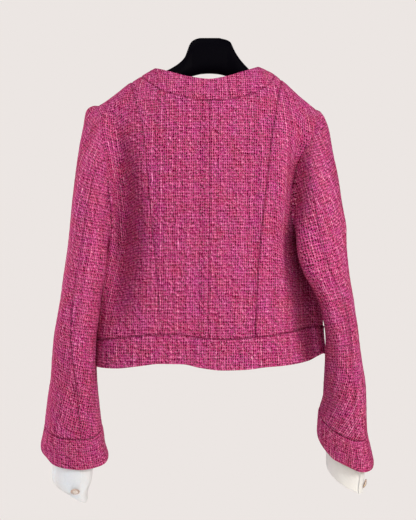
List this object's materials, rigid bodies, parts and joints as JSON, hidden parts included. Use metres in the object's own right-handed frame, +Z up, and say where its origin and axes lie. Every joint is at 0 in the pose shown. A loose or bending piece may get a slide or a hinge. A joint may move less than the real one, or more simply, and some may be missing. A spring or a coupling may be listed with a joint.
{
  "type": "cropped tweed jacket on a clothes hanger",
  "caption": "Hollow cropped collarless tweed jacket with a neckband, hem band, flared sleeves and white inner cuffs, hung on a wide moulded hanger.",
  "frame": {"origin": "middle of the top of the hanger's head, where it is held up", "axes": "+Z up, -Y out of the jacket's back, +Y out of its front, +X to the right as seen from the back"},
  "size_m": [0.5823, 0.1867, 0.7982],
  "materials": {
    "boucle_tweed": "nubby boucle weave",
    "cotton_poplin": "smooth fine weave",
    "gilt_brass": "polished rim round a cut stone",
    "moulded_plastic": "satin moulded"
  },
  "bodies": {
    "root": {"back_centre_left": "boucle_tweed", "back_centre_right": "boucle_tweed", "back_side_left": "boucle_tweed", "back_side_right": "boucle_tweed", "front_left": "boucle_tweed", "front_right": "boucle_tweed", "neckband": "boucle_tweed", "hem_band_back": "boucle_tweed", "hem_band_front_left": "boucle_tweed", "hem_band_front_right": "boucle_tweed", "sleeve_upper_left": "boucle_tweed", "sleeve_upper_right": "boucle_tweed", "sleeve_under_left": "boucle_tweed", "sleeve_under_right": "boucle_tweed", "cuff_band_left": "boucle_tweed", "cuff_band_right": "boucle_tweed", "shirt_cuff_left": "cotton_poplin", "shirt_cuff_right": "cotton_poplin", "cuff_button_left": "gilt_brass", "cuff_button_right": "gilt_brass", "hanger": "moulded_plastic"}
  },
  "joints": []
}
